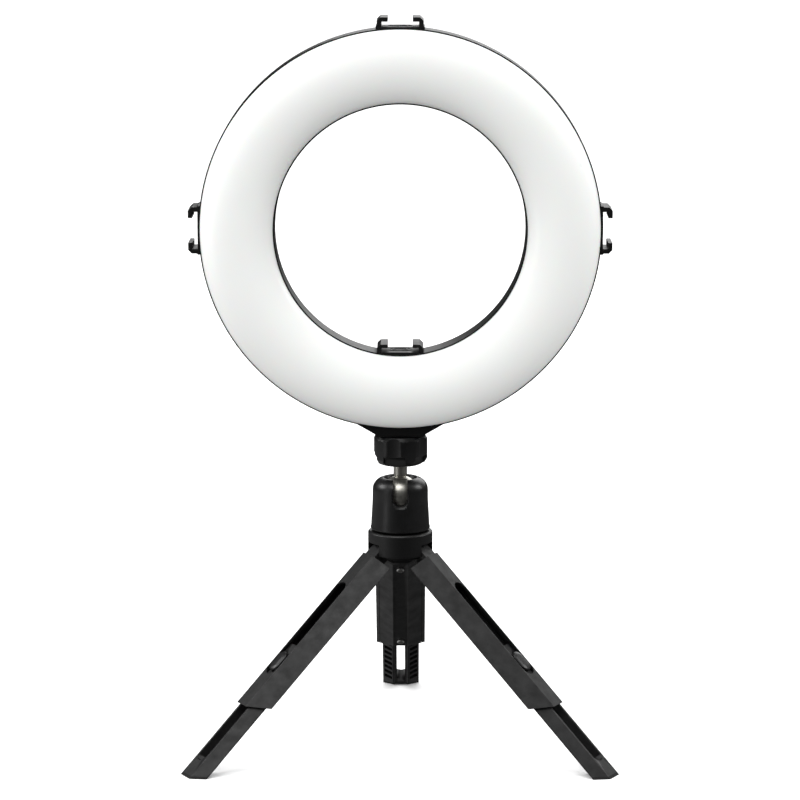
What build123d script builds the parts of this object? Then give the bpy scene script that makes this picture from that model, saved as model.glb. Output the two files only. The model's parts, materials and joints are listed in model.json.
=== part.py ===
from build123d import *
import math
import os

# Ring light, 8 inch, on a folding table tripod with a ball head. Millimetres.
# Frame: +Z up, the light faces -Y, the tripod's axis is the Z axis and the ground is z = 0.
# A leg is drawn in its own directions: u outward from the tripod's axis when folded, w sideways,
# l down the leg from its hinge pin.

os.makedirs("parts", exist_ok=True)

# Tripod
SPREAD = 46.7  # leg angle from vertical, standing
LEG_AZIMUTHS = {"left": 210.0, "right": 330.0, "rear": 90.0}
PIN_R = 11.0
PIN_Z = 103.5
PIN_DIA = 3.0
PIN_LENGTH = 17.6
RUNNING = 0.04  # radial clearance of a turning fit
SLIDING = 0.2  # clearance of the telescoping sections

# Upper leg section
OUTER_FACE = 15.8
OUTER_HALF = 4.9
SIDE_CORNER = (8.1, 13.18)
LIP_INNER = 11.28
SHELL_WALL = 1.2
COVER_WALL = 2.0  # where the lower leg slides on it
COVER_EDGE = 1.1  # beside the lower leg
SECTOR_GAP = 0.42  # from the 60 degree plane that two folded legs share
CHANNEL_HALF = 3.95
CHANNEL_FLOOR = 3.4
LEG_TOP = 6.4
LEG_END = 107.7  # at the outer face
END_SLOPE = 0.9
TONGUE_HALF = 4.85
TONGUE_R = 3.6
STOP_TOE = 1.8
WINDOW = (25.7, 87.0)
WINDOW_HALF = 4.2
SCREW_AT = (14.2, 91.5)

# Lower leg
LOWER_FACE = 13.8
LOWER_HALF = 9.9
LOWER_TOP = 66.5
TRAVEL = 46.5
SLOT = (88.6, 142.9)
GROOVE_HALF = 3.7
SLOT_HALF = 2.2
PAD_THICK = 1.2
POCKET_PITCH = 5.4
POCKET_LENGTH = 3.3
POCKET_LAST = 138.4
POCKETS = 10
BUTTON_AT = 78.6
BUTTON_LENGTH = 12.0
BUTTON_WIDTH = 7.6
BUTTON_TOP = 16.7

# Hub and ball head
HUB_R = 16.6
HUB_BOTTOM = 101.7
HUB_TOP = 113.4
SLOT_WALL_R = 6.95
SLOT_ROOF = 107.7
SLOT_SIDE = 5.15
RETAINER_TOP = 102.0
RETAINER_BOTTOM = 100.5
BALL_Z = 131.6
BALL_R = 10.2
STEM_R = 3.525
STUD_R = 3.175
SHOULDER_Z = 149.0
STUD_TOP = 172.0
DOME_R = 14.25
DOME_FOOT_R = 15.05
DOME_BOTTOM = 114.0
DOME_TOP = 141.0
MOUTH_R = 7.6
NOTCH_HALF = 3.68
WHEEL_BOTTOM = 148.2
WHEEL_TOP = 163.7
WHEEL_R = 13.9
WHEEL_LOBES = 5
WHEEL_START = 184
BOSS_BOTTOM = 164.0

# Ring light
RING_Z = 270.0
RING_R = 101.6
HOLE_R = 63.5
CASE_FRONT = -12.0
CASE_BACK = 7.0
CASE_WALL = 2.0
BACK_WALL = 2.2
DOME_DEPTH = 10.3
RIM = 0.7
BOARD_Y = -3.0
BOARD_THICK = 1.6
POST_R = 95.3
STANDOFF_R = 80.2
CONTROL_Y = 0.6
CONTROL_THICK = 1.2
CONTROL_Z = 194.0
BUTTON_XS = {"dimmer_button": -15.0, "power_button": -6.0, "brighter_button": 3.0}
USB_X = 13.5

# Cold shoes
SHOE_WIDTH = 23.5
SHOE_SLOT = 18.8
SHOE_GAP = 12.5
SHOE_HEIGHT = 5.3
SHOE_BASE = 0.5
SHOE_LIP = 2.2
INNER_BASE = 1.3  # the ring's wall curves up beside the inner shoe
INNER_LIP = 1.8
SHOE_BEVEL = 1.8
SHOE_Y = (-11.5, 6.5)

SIN60 = math.sin(math.radians(60))
COS60 = 0.5


def save(part, name):
    """Label one finished piece and write its file."""
    part.label = name
    export_step(part, f"parts/{name}.step")


# ---------------------------------------------------------------- legs


def leg_axes(azimuth):
    """The leg's directions in the standing pose: outward normal, sideways, and down the leg."""
    a = math.radians(azimuth)
    t = math.radians(SPREAD)
    away = Vector(math.cos(a), math.sin(a), 0)
    up = Vector(0, 0, 1)
    normal = away * math.cos(t) + up * math.sin(t)
    side = Vector(-math.sin(a), math.cos(a), 0)
    down = away * math.sin(t) - up * math.cos(t)
    return away * PIN_R + up * PIN_Z, normal, side, down


def cross_plane(azimuth, l):
    """Across the leg at l: local x is u - PIN_R, local y is w, and z points up the leg."""
    pin, normal, side, down = leg_axes(azimuth)
    return Plane(origin=pin + down * l, x_dir=normal, z_dir=-down)


def side_plane(azimuth):
    """Along the leg: local x is u - PIN_R, local y is -l."""
    pin, normal, side, down = leg_axes(azimuth)
    return Plane(origin=pin, x_dir=normal, z_dir=-side)


def face_plane(azimuth, u):
    """Parallel to the outer face at u: local x is w, local y is -l."""
    pin, normal, side, down = leg_axes(azimuth)
    return Plane(origin=pin + normal * (u - PIN_R), x_dir=side, z_dir=normal)


def flat_plane(azimuth, hand, distance):
    """On an inner flat, at a distance from the shared plane: local x runs outward, local y is hand * l."""
    pin, normal, side, down = leg_axes(azimuth)
    out = normal * -SIN60 + side * (hand * COS60)
    along = normal * COS60 + side * (hand * SIN60)
    axis_point = pin - normal * PIN_R
    return Plane(origin=axis_point - out * distance, x_dir=along, z_dir=out)


def on_flat(distance, w):
    """u of a point at w on the inner flat."""
    return (distance + COS60 * w) / SIN60


def side_distance():
    """Distance of the slanted side face from the tripod's axis, with its normal's two parts."""
    du = OUTER_FACE - SIDE_CORNER[0]
    dw = SIDE_CORNER[1] - OUTER_HALF
    size = math.hypot(du, dw)
    return OUTER_FACE * dw / size + OUTER_HALF * du / size, dw / size, du / size


SIDE_D, SIDE_U, SIDE_W = side_distance()


def mirrored(points):
    """Close an outline that is drawn for w > 0 with its mirror image, and shift it to the pin."""
    both = points + [(u, -w) for u, w in reversed(points)]
    return [(u - PIN_R, w) for u, w in both]


def shell_outline():
    return mirrored([
        (OUTER_FACE, OUTER_HALF),
        SIDE_CORNER,
        (on_flat(SECTOR_GAP, LIP_INNER), LIP_INNER),
        (on_flat(SECTOR_GAP, CHANNEL_HALF), CHANNEL_HALF),
    ])


def shell_cavity():
    """What is cut from the solid section: the lower leg's way and the cover's seat."""
    inner_face = OUTER_FACE - SHELL_WALL
    inner_d = SIDE_D - SHELL_WALL
    return mirrored([
        (inner_face, (inner_d - inner_face * SIDE_U) / SIDE_W),
        ((inner_d - LIP_INNER * SIDE_W) / SIDE_U, LIP_INNER),
        (0.0, LIP_INNER),
    ])


def cover_outline():
    edge = LIP_INNER - 0.08
    rail_edge = LOWER_HALF + 0.3
    inside = SECTOR_GAP + COVER_WALL
    beside = SECTOR_GAP + COVER_EDGE
    floor_inside = CHANNEL_FLOOR + COVER_WALL
    return mirrored([
        (floor_inside, (floor_inside * SIN60 - inside) / COS60),
        (on_flat(inside, rail_edge), rail_edge),
        (on_flat(beside, rail_edge), rail_edge),
        (on_flat(beside, edge), edge),
        (on_flat(SECTOR_GAP, edge), edge),
        (on_flat(SECTOR_GAP, CHANNEL_HALF), CHANNEL_HALF),
        (CHANNEL_FLOOR, CHANNEL_HALF - 0.25),
    ])


LOWER_FLAT = SECTOR_GAP + COVER_WALL + SLIDING + 0.03
LOWER_CENTRE = CHANNEL_FLOOR + COVER_WALL + 0.25


def lower_outline():
    inner_d = SIDE_D - SHELL_WALL - SLIDING
    return mirrored([
        (LOWER_FACE, (inner_d - LOWER_FACE * SIDE_U) / SIDE_W),
        ((inner_d - LOWER_HALF * SIDE_W) / SIDE_U, LOWER_HALF),
        (on_flat(LOWER_FLAT, LOWER_HALF), LOWER_HALF),
        (LOWER_CENTRE, (LOWER_CENTRE * SIN60 - LOWER_FLAT) / COS60),
        (LOWER_CENTRE, 3.7),
        (LOWER_CENTRE + 0.5, 3.2),
    ])


def oval_between(top, bottom, half):
    """Centre and length of a round-ended window from l = top to l = bottom."""
    return (0, -(top + bottom) / 2), bottom - top, 2 * half


def end_cut():
    """What the upper leg's slanted end takes off, seen along side_plane; it is longer on the outside."""
    outer = OUTER_FACE + 1 - PIN_R
    inner = -PIN_R
    return [
        (outer, -(LEG_END + END_SLOPE)),
        (inner, -(LEG_END - END_SLOPE * OUTER_FACE)),
        (inner, -(LEG_END + 6)),
        (outer, -(LEG_END + 6)),
    ]


def make_shell(name, azimuth):
    """Upper leg: outer shell with its hinge tongue, screw posts and the button's window."""
    flat_top = SHELL_WALL + 0.4
    with BuildPart() as shell:
        with BuildSketch(cross_plane(azimuth, LEG_TOP)):
            Polygon(*shell_outline(), align=None)
        extrude(amount=-(LEG_END - LEG_TOP + 1))
        with BuildSketch(cross_plane(azimuth, LEG_TOP + flat_top)):
            Polygon(*shell_cavity(), align=None)
        extrude(amount=-(LEG_END - LEG_TOP + 5), mode=Mode.SUBTRACT)
        for at, radius in zip(SCREW_AT, (2.2, 1.9)):
            post_from = CHANNEL_FLOOR + COVER_WALL
            with BuildSketch(face_plane(azimuth, post_from)):
                with Locations((0, -at)):
                    Circle(radius)
            extrude(amount=OUTER_FACE - SHELL_WALL / 2 - post_from)
            with BuildSketch(face_plane(azimuth, post_from)):
                with Locations((0, -at)):
                    Circle(1.05)
            extrude(amount=7.5, mode=Mode.SUBTRACT)
        with BuildSketch(side_plane(azimuth)):
            Circle(TONGUE_R)
            with Locations((STOP_TOE / 2, TONGUE_R / 2)):
                Rectangle(STOP_TOE, TONGUE_R)
            with Locations((0, -(LEG_TOP + flat_top) / 2)):
                Rectangle(2 * TONGUE_R, LEG_TOP + flat_top)
        extrude(amount=TONGUE_HALF, both=True)
        with BuildSketch(side_plane(azimuth)):
            Circle(PIN_DIA / 2 + RUNNING)
        extrude(amount=TONGUE_HALF + 1, both=True, mode=Mode.SUBTRACT)
        middle, length, width = oval_between(*WINDOW, WINDOW_HALF)
        with BuildSketch(face_plane(azimuth, OUTER_FACE - 2 * SHELL_WALL)):
            with Locations(middle):
                SlotOverall(length, width, rotation=90)
        extrude(amount=3 * SHELL_WALL, mode=Mode.SUBTRACT)
        with BuildSketch(side_plane(azimuth)):
            Polygon(*end_cut(), align=None)
        extrude(amount=20, both=True, mode=Mode.SUBTRACT)
    save(shell.part, f"{name}_leg_shell")


def make_cover(name, azimuth):
    """Inner cover of the upper leg, two flats and a shallow channel, with its two screw holes."""
    top = LEG_TOP + SHELL_WALL + 0.45
    with BuildPart() as cover:
        with BuildSketch(cross_plane(azimuth, top)):
            Polygon(*cover_outline(), align=None)
        extrude(amount=-(LEG_END - top))
        for at in SCREW_AT:
            with BuildSketch(face_plane(azimuth, CHANNEL_FLOOR - 1)):
                with Locations((0, -at)):
                    Circle(1.2)
            extrude(amount=4, mode=Mode.SUBTRACT)
        with BuildSketch(side_plane(azimuth)):
            Polygon(*end_cut(), align=None)
        extrude(amount=20, both=True, mode=Mode.SUBTRACT)
    save(cover.part, f"{name}_leg_cover")


def make_cover_screws(name, azimuth):
    """The two pan-head screws that hold the cover to the shell's posts."""
    head = 0.9
    with BuildPart() as screws:
        for at in SCREW_AT:
            with BuildSketch(face_plane(azimuth, CHANNEL_FLOOR)):
                with Locations((0, -at)):
                    Circle(1.0)
            extrude(amount=7.5)
            with BuildSketch(face_plane(azimuth, CHANNEL_FLOOR)):
                with Locations((0, -at)):
                    Circle(2.0)
            extrude(amount=-head)
            with BuildSketch(face_plane(azimuth, CHANNEL_FLOOR - head)):
                with Locations((0, -at)):
                    Rectangle(2.2, 0.5)
                    Rectangle(0.5, 2.2)
            extrude(amount=0.5, mode=Mode.SUBTRACT)
    save(screws.part, f"{name}_cover_screws")


def make_pin(name, azimuth):
    """Hinge pin, across the hub's slot."""
    with BuildPart() as pin:
        with BuildSketch(side_plane(azimuth)):
            Circle(PIN_DIA / 2)
        extrude(amount=PIN_LENGTH / 2, both=True)
        chamfer(pin.edges().filter_by(GeomType.CIRCLE), 0.3)
    save(pin.part, f"{name}_hinge_pin")


def make_lower_leg(name, azimuth):
    """Lower leg: outer groove, inner slot for the post, ribbed flats and the lock button's pocket."""
    with BuildPart() as lower:
        with BuildSketch(cross_plane(azimuth, LOWER_TOP)):
            Polygon(*lower_outline(), align=None)
        extrude(amount=-(PIN_Z / math.cos(math.radians(SPREAD)) - LOWER_TOP + 20))
        split(bisect_by=Plane.XY.offset(PAD_THICK), keep=Keep.TOP)
        groove_floor = LOWER_CENTRE + 2.0
        middle, length, width = oval_between(*SLOT, GROOVE_HALF)
        with BuildSketch(face_plane(azimuth, groove_floor)):
            with Locations(middle):
                SlotOverall(length, width, rotation=90)
        extrude(amount=LOWER_FACE - groove_floor + 1, mode=Mode.SUBTRACT)
        with BuildSketch(face_plane(azimuth, LOWER_CENTRE - 1)):
            with Locations(middle):
                Rectangle(2 * SLOT_HALF, length)
        extrude(amount=4, mode=Mode.SUBTRACT)
        pocket_depth = BUTTON_TOP - 7.1
        with BuildSketch(face_plane(azimuth, pocket_depth)):
            with Locations((0, -BUTTON_AT)):
                SlotOverall(BUTTON_LENGTH + 0.4, BUTTON_WIDTH + 0.4, rotation=90)
        extrude(amount=LOWER_FACE - pocket_depth + 1, mode=Mode.SUBTRACT)
        inner = on_flat(LOWER_FLAT, 4.9) * COS60 + 4.9 * SIN60
        outer = on_flat(LOWER_FLAT, 9.0) * COS60 + 9.0 * SIN60
        for hand in (1, -1):
            with BuildSketch(flat_plane(azimuth, hand, LOWER_FLAT)):
                for index in range(POCKETS):
                    at = POCKET_LAST - index * POCKET_PITCH
                    with Locations(((inner + outer) / 2, hand * at)):
                        Rectangle(outer - inner, POCKET_LENGTH)
            extrude(amount=-1.5, mode=Mode.SUBTRACT)
    save(lower.part, f"{name}_lower_leg")


def make_foot_pad(name, azimuth):
    """Rubber pad under the lower leg, flat on the ground in the standing pose."""
    with BuildPart() as pad:
        with BuildSketch(cross_plane(azimuth, SLOT[1] - 4)):
            Polygon(*lower_outline(), align=None)
        extrude(amount=-24)
        split(bisect_by=Plane.XY.offset(PAD_THICK), keep=Keep.BOTTOM)
        split(bisect_by=Plane.XY, keep=Keep.TOP)
    save(pad.part, f"{name}_foot_pad")


def make_lock_button(name, azimuth):
    """Oval button that locks the lower leg."""
    bottom = BUTTON_TOP - 4.1
    with BuildPart() as button:
        with BuildSketch(face_plane(azimuth, bottom)):
            with Locations((0, -BUTTON_AT)):
                SlotOverall(BUTTON_LENGTH, BUTTON_WIDTH, rotation=90)
        extrude(amount=BUTTON_TOP - bottom)
        outward = Axis((0, 0, 0), tuple(leg_axes(azimuth)[1]))
        top_face = button.faces().sort_by(outward)[-1]
        fillet(top_face.edges(), 0.6)
    save(button.part, f"{name}_lock_button")


def make_lock_spring(name, azimuth):
    """Coil spring under the lock button."""
    pin, normal, side, down = leg_axes(azimuth)
    wire = 0.3
    low = BUTTON_TOP - 7.1 + wire + 0.02
    high = BUTTON_TOP - 4.1 - wire - 0.02
    start = pin + normal * (low - PIN_R) + down * BUTTON_AT
    with BuildPart() as spring:
        with BuildLine() as path:
            Helix(pitch=(high - low) / 3, height=high - low, radius=2.0, center=start, direction=normal)
        with BuildSketch(Plane(origin=path.line @ 0, z_dir=path.line % 0)):
            Circle(wire)
        sweep()
    save(spring.part, f"{name}_lock_spring")


for leg_name, leg_azimuth in LEG_AZIMUTHS.items():
    make_shell(leg_name, leg_azimuth)
    make_cover(leg_name, leg_azimuth)
    make_cover_screws(leg_name, leg_azimuth)
    make_pin(leg_name, leg_azimuth)
    make_lower_leg(leg_name, leg_azimuth)
    make_foot_pad(leg_name, leg_azimuth)
    make_lock_button(leg_name, leg_azimuth)
    make_lock_spring(leg_name, leg_azimuth)


# ---------------------------------------------------------------- hub


def radial_plane(azimuth):
    """Upright plane through the tripod's axis: local x is the radius, local y is z."""
    a = math.radians(azimuth)
    return Plane(
        origin=(0, 0, 0),
        x_dir=(math.cos(a), math.sin(a), 0),
        z_dir=(math.sin(a), -math.cos(a), 0),
    )


def slot_outline():
    """A leg's slot in the hub: open below and outside, its inner top corner cut as the leg's stop."""
    t = math.radians(SPREAD)
    reach = TONGUE_R + 0.12
    foot_r = PIN_R - reach * math.sin(t)
    foot_z = PIN_Z + reach * math.cos(t)
    slope = math.tan(t)
    return [
        (SLOT_WALL_R, HUB_BOTTOM - 3),
        (SLOT_WALL_R, foot_z - (foot_r - SLOT_WALL_R) * slope),
        (foot_r + (SLOT_ROOF - foot_z) / slope, SLOT_ROOF),
        (HUB_R + 3, SLOT_ROOF),
        (HUB_R + 3, HUB_BOTTOM - 3),
    ]


with BuildPart() as hub:
    with BuildSketch(Plane.XZ):
        with BuildLine():
            Polyline(
                (0, RETAINER_TOP),
                (15.2, RETAINER_TOP),
                (15.2, HUB_BOTTOM),
                (HUB_R, HUB_BOTTOM),
                (HUB_R, HUB_TOP - 0.8),
                (HUB_R - 0.8, HUB_TOP),
                (10.5, HUB_TOP),
                (10.5, 120.0),
                (0, 120.0),
                close=True,
            )
        make_face()
    revolve(axis=Axis.Z)
    for azimuth in LEG_AZIMUTHS.values():
        with BuildSketch(radial_plane(azimuth)):
            Polygon(*slot_outline(), align=None)
        extrude(amount=SLOT_SIDE, both=True, mode=Mode.SUBTRACT)
        with BuildSketch(radial_plane(azimuth)):
            with Locations((PIN_R, PIN_Z)):
                Circle(PIN_DIA / 2)
            with Locations((PIN_R, PIN_Z - 3)):
                Rectangle(PIN_DIA, 6)
        extrude(amount=PIN_LENGTH / 2 + 0.1, both=True, mode=Mode.SUBTRACT)
    with BuildSketch(Plane.XY.offset(RETAINER_TOP)):
        Circle(1.55)
    extrude(amount=9, mode=Mode.SUBTRACT)
save(hub.part, "hub")

with BuildPart() as hub_retainer:
    with BuildSketch(Plane.XY.offset(RETAINER_BOTTOM)):
        Circle(15.1)
    extrude(amount=RETAINER_TOP - RETAINER_BOTTOM)
    for azimuth in LEG_AZIMUTHS.values():
        with BuildSketch(radial_plane(azimuth)):
            Polygon(*slot_outline(), align=None)
        extrude(amount=SLOT_SIDE, both=True, mode=Mode.SUBTRACT)
    with BuildSketch(Plane.XY.offset(RETAINER_BOTTOM)):
        Circle(1.6)
    extrude(amount=3, mode=Mode.SUBTRACT)
save(hub_retainer.part, "hub_retainer")

with BuildPart() as hub_screw:
    with BuildSketch(Plane.XY.offset(RETAINER_BOTTOM - 1.6)):
        Circle(3.0)
    extrude(amount=1.6)
    with BuildSketch(Plane.XY.offset(RETAINER_BOTTOM)):
        Circle(1.5)
    extrude(amount=9)
    with BuildSketch(Plane.XY.offset(RETAINER_BOTTOM - 1.6)):
        Rectangle(3.4, 0.7)
        Rectangle(0.7, 3.4)
    extrude(amount=0.9, mode=Mode.SUBTRACT)
save(hub_screw.part, "hub_screw")


# ---------------------------------------------------------------- ball head

SOCKET_R = BALL_R + RUNNING
mouth_z = BALL_Z + math.sqrt(SOCKET_R**2 - MOUTH_R**2)

with BuildPart() as dome_housing:
    with BuildSketch(Plane.XZ):
        with BuildLine():
            outside = Polyline(
                (MOUTH_R + 1.0, DOME_TOP),
                (MOUTH_R, mouth_z),
            )
            ThreePointArc(
                outside @ 1,
                (
                    SOCKET_R * math.cos(math.radians(24)),
                    BALL_Z + SOCKET_R * math.sin(math.radians(24)),
                ),
                (SOCKET_R, BALL_Z),
            )
            Polyline(
                (SOCKET_R, BALL_Z),
                (SOCKET_R, 127.0),
                (10.5 + RUNNING, 126.6),
                (10.5 + RUNNING, DOME_BOTTOM),
                (DOME_FOOT_R - 0.6, DOME_BOTTOM),
                (DOME_FOOT_R + 0.25, DOME_BOTTOM + 0.6),
                (DOME_FOOT_R + 0.25, DOME_BOTTOM + 1.4),
                (DOME_FOOT_R, DOME_BOTTOM + 1.9),
                (DOME_R + 0.05, 129.0),
                (DOME_R, DOME_TOP - 6.6),
            )
            RadiusArc((DOME_R, DOME_TOP - 6.6), (MOUTH_R + 1.0, DOME_TOP), -6.4)
        make_face()
    revolve(axis=Axis.Z)
    with BuildSketch(Plane.XZ.offset(4)):
        with Locations((0, BALL_Z)):
            Circle(NOTCH_HALF)
        with Locations((0, BALL_Z + 10)):
            Rectangle(2 * NOTCH_HALF, 20)
    extrude(amount=14, mode=Mode.SUBTRACT)
    with BuildSketch(Plane.XZ.offset(DOME_R - 1.1)):
        with Locations((0, BALL_Z)):
            Circle(NOTCH_HALF)
        with Locations((0, BALL_Z + 10)):
            Rectangle(2 * NOTCH_HALF, 20)
    extrude(amount=2.2, taper=-42, mode=Mode.SUBTRACT)
    for x in (-9.6, 9.6):
        with BuildSketch(Plane.XY.offset(DOME_TOP - 1.6)):
            with Locations((x, 0)):
                Circle(0.8)
        extrude(amount=4, mode=Mode.SUBTRACT)
save(dome_housing.part, "dome_housing")

with BuildPart() as ball:
    with Locations((0, 0, BALL_Z)):
        Sphere(BALL_R)
    with BuildSketch(Plane.XY.offset(BALL_Z - 6)):
        Circle(STEM_R - 0.5 + RUNNING)
    extrude(amount=20, mode=Mode.SUBTRACT)
save(ball.part, "ball")

with BuildPart() as stem:
    with BuildSketch(Plane.XZ):
        with BuildLine():
            Polyline(
                (0, BALL_Z - 5.7),
                (STEM_R - 0.5, BALL_Z - 5.7),
                (STEM_R - 0.5, BALL_Z + BALL_R - 0.2),
                (STEM_R, BALL_Z + BALL_R + 0.3),
                (STEM_R, SHOULDER_Z),
                (STUD_R, SHOULDER_Z),
                (STUD_R, STUD_TOP - 0.8),
                (STUD_R - 0.8, STUD_TOP),
                (0, STUD_TOP),
                close=True,
            )
        make_face()
    revolve(axis=Axis.Z)
save(stem.part, "stem")

SEAT_TOP = 125.2
seat_r = math.sqrt(SOCKET_R**2 - (BALL_Z - SEAT_TOP) ** 2)
with BuildPart() as ball_seat:
    with BuildSketch(Plane.XZ):
        with BuildLine():
            Polyline((3.4, 121.5), (10.1, 121.5), (10.1, SEAT_TOP), (seat_r, SEAT_TOP))
            ThreePointArc(
                (seat_r, SEAT_TOP),
                (
                    SOCKET_R * math.cos(math.radians(-57)),
                    BALL_Z + SOCKET_R * math.sin(math.radians(-57)),
                ),
                (4.4, BALL_Z - math.sqrt(SOCKET_R**2 - 4.4**2)),
            )
            Line((4.4, BALL_Z - math.sqrt(SOCKET_R**2 - 4.4**2)), (3.4, 121.5))
        make_face()
    revolve(axis=Axis.Z)
save(ball_seat.part, "ball_seat")

with BuildPart() as seat_spring:
    with BuildSketch(Plane.XZ):
        Polygon((4.0, 120.85), (4.0, 121.45), (9.6, 120.7), (9.6, 120.1), align=None)
    revolve(axis=Axis.Z)
save(seat_spring.part, "seat_spring")

with BuildPart() as thumb_wheel:
    with BuildSketch(Plane.XY.offset(WHEEL_BOTTOM)):
        Circle(WHEEL_R)
        with PolarLocations(WHEEL_R + 13.2, WHEEL_LOBES, start_angle=WHEEL_START):
            Circle(14.2, mode=Mode.SUBTRACT)
    extrude(amount=WHEEL_TOP - WHEEL_BOTTOM)
    with BuildSketch(Plane.XZ):
        with BuildLine():
            Polyline(
                (0, WHEEL_BOTTOM),
                (10.1, WHEEL_BOTTOM),
                (12.6, WHEEL_BOTTOM + 1.0),
                (WHEEL_R + 0.1, WHEEL_BOTTOM + 3.4),
                (WHEEL_R + 0.1, WHEEL_TOP - 2.6),
                (WHEEL_R - 1.4, WHEEL_TOP),
                (0, WHEEL_TOP),
                close=True,
            )
        make_face()
    revolve(axis=Axis.Z, mode=Mode.INTERSECT)
    for lobe in range(WHEEL_LOBES):
        with BuildSketch(radial_plane(WHEEL_START + lobe * 360 / WHEEL_LOBES)):
            Polygon(
                (10.6, WHEEL_BOTTOM - 1),
                (10.6, WHEEL_BOTTOM + 3.4),
                (15.2, WHEEL_BOTTOM + 7.3),
                (15.2, WHEEL_BOTTOM - 1),
                align=None,
            )
        extrude(amount=5.6, both=True, mode=Mode.SUBTRACT)
    with BuildSketch(Plane.XY.offset(WHEEL_BOTTOM - 1)):
        Circle(STUD_R + RUNNING)
    extrude(amount=WHEEL_TOP - WHEEL_BOTTOM + 2, mode=Mode.SUBTRACT)
    with BuildSketch(Plane.XY.offset(WHEEL_BOTTOM - 1)):
        Circle(STEM_R + 0.3)
    extrude(amount=SHOULDER_Z - WHEEL_BOTTOM + 1.2, mode=Mode.SUBTRACT)
save(thumb_wheel.part, "thumb_wheel")


# ---------------------------------------------------------------- ring light

RING_AXIS = Axis((0, 0, RING_Z), (0, 1, 0))
PLATE_IN = CASE_BACK - BACK_WALL


def back_plane(y):
    """Facing -Y at y, with the ring's centre as its origin: local x is X, local y is Z."""
    return Plane(origin=(0, y, RING_Z), x_dir=(1, 0, 0), z_dir=(0, -1, 0))


def shoe_plane(angle, radius):
    """On the ring's edge at an angle: local x is sideways, local y is Y, z is away from the centre."""
    a = math.radians(angle)
    out = (math.cos(a), 0, math.sin(a))
    return Plane(
        origin=(radius * out[0], 0, RING_Z + radius * out[2]),
        x_dir=(math.sin(a), 0, -math.cos(a)),
        z_dir=out,
    )


POST_SPOTS = PolarLocations(POST_R, 8, start_angle=22.5).local_locations
STANDOFFS = PolarLocations(STANDOFF_R, 4, start_angle=45).local_locations
CONTROL_STANDOFFS = [(-21.5, CONTROL_Z - RING_Z), (21.5, CONTROL_Z - RING_Z)]
SHOES = {
    "shoe_top": (90, RING_R),
    "shoe_left": (180, RING_R),
    "shoe_right": (0, RING_R),
    "shoe_inner": (-90, HOLE_R),
}
SHOE_SCREW_X = 10.6
SHOE_SCREW_Y = -2.5
BOSS_SCREWS = [(-9.0, 180.0 - RING_Z), (9.0, 180.0 - RING_Z)]

with BuildPart() as rear_case:
    with BuildSketch(Plane.XY.offset(RING_Z)) as case_profile:
        Polygon(
            (RING_R, CASE_FRONT),
            (RING_R, CASE_BACK),
            (HOLE_R, CASE_BACK),
            (HOLE_R, CASE_FRONT),
            (HOLE_R + CASE_WALL, CASE_FRONT),
            (HOLE_R + CASE_WALL, PLATE_IN),
            (RING_R - CASE_WALL, PLATE_IN),
            (RING_R - CASE_WALL, CASE_FRONT),
            align=None,
        )
        back_corners = case_profile.vertices().group_by(Axis.Y)[-1]
        fillet(back_corners, 3.0)
    revolve(axis=RING_AXIS)
    with BuildSketch(back_plane(PLATE_IN + 0.5)):
        with Locations(*STANDOFFS):
            Circle(3.0)
    extrude(amount=PLATE_IN + 0.5 - BOARD_Y - BOARD_THICK)
    with BuildSketch(back_plane(PLATE_IN + 0.5)):
        with Locations(*CONTROL_STANDOFFS):
            Circle(2.2)
    extrude(amount=PLATE_IN + 0.5 - CONTROL_Y - CONTROL_THICK)
    with BuildSketch(back_plane(PLATE_IN - 0.4)):
        with Locations(*STANDOFFS, *CONTROL_STANDOFFS):
            Circle(1.0)
    extrude(amount=8, mode=Mode.SUBTRACT)
    with BuildSketch(back_plane(CASE_BACK + 1)):
        with Locations(*POST_SPOTS):
            Circle(1.6)
        with Locations(*BOSS_SCREWS):
            Circle(1.3)
        for x in BUTTON_XS.values():
            with Locations((x, CONTROL_Z - RING_Z)):
                Circle(3.2)
        with Locations((USB_X, CONTROL_Z - RING_Z)):
            SlotOverall(9.6, 3.9)
    extrude(amount=BACK_WALL + 2, mode=Mode.SUBTRACT)
    with BuildSketch(back_plane(CASE_BACK + 1)):
        with Locations(*POST_SPOTS):
            Circle(2.9)
    extrude(amount=2.2, mode=Mode.SUBTRACT)
    with BuildSketch(Plane.XY.offset(RING_Z - RING_R - 1)):
        Circle(4.6)
    extrude(amount=CASE_WALL + 2, mode=Mode.SUBTRACT)
    for angle, radius in SHOES.values():
        with BuildSketch(shoe_plane(angle, radius - 4)):
            with Locations((-SHOE_SCREW_X, SHOE_SCREW_Y), (SHOE_SCREW_X, SHOE_SCREW_Y)):
                Circle(1.0)
        extrude(amount=8, mode=Mode.SUBTRACT)
save(rear_case.part, "rear_case")

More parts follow.
